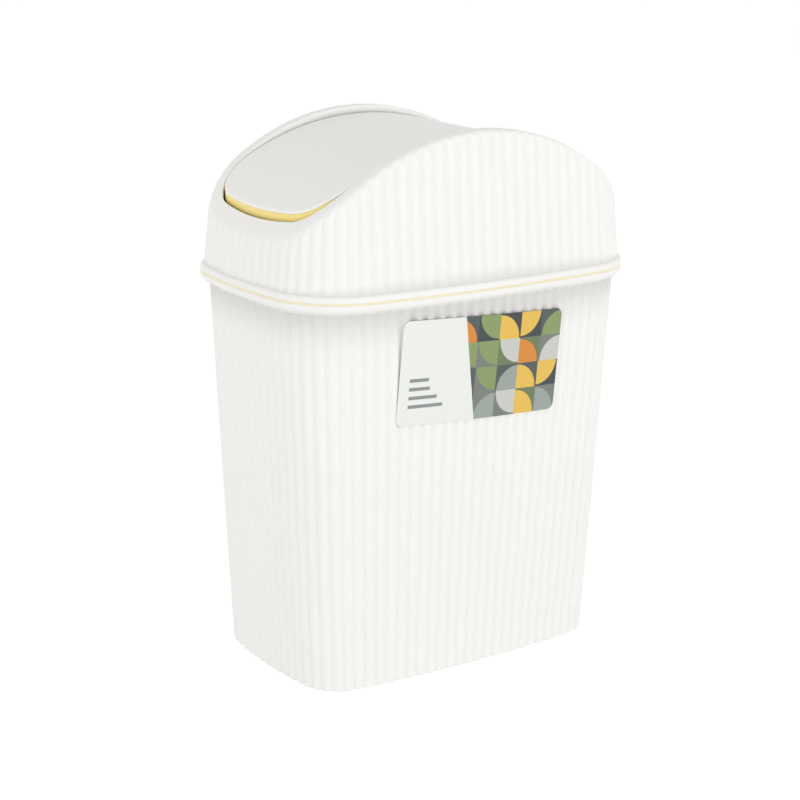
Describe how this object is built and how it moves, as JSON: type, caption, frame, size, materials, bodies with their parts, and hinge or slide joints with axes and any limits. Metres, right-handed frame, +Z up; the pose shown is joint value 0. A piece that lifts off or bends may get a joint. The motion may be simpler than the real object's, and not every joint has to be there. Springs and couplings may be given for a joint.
{
  "type": "mini trash can",
  "caption": "Small upright kitchen bin with rounded corners and fine vertical ribs, a lift-off arched lid and a flap that swings both ways.",
  "frame": {"origin": "middle of the base, on the surface that the bin stands on", "axes": "+Z up, X along the broad sides, -Y towards the labelled broad side"},
  "size_m": [0.175, 0.115, 0.23],
  "materials": {
    "white_polypropylene": "satin, injection moulded",
    "yellow_polypropylene": "satin, injection moulded",
    "pin_acetal": "smooth, turned",
    "label_film": "printed film with a soft sheen"
  },
  "bodies": {
    "bucket": {"bucket": "white_polypropylene", "label": "label_film"},
    "bag_ring": {"bag_ring": "yellow_polypropylene"},
    "lid": {"lid_shell": "white_polypropylene"},
    "flap": {"flap_cover": "white_polypropylene", "flap_liner": "yellow_polypropylene", "pivot_pin_front": "pin_acetal", "pivot_pin_back": "pin_acetal"}
  },
  "joints": [
    {"name": "ring_lift", "type": "slide", "parent": "bucket", "child": "bag_ring", "axis": [0, 0, 1], "range_m": [0, 0.06]},
    {"name": "lid_lift", "type": "slide", "parent": "bag_ring", "child": "lid", "axis": [0, 0, 1], "range_m": [0, 0.1]},
    {"name": "flap_swing", "type": "hinge", "parent": "lid", "child": "flap", "pos_m": [0, 0, 0.2195], "axis": [0, 1, 0], "range_deg": [-70, 70]}
  ]
}
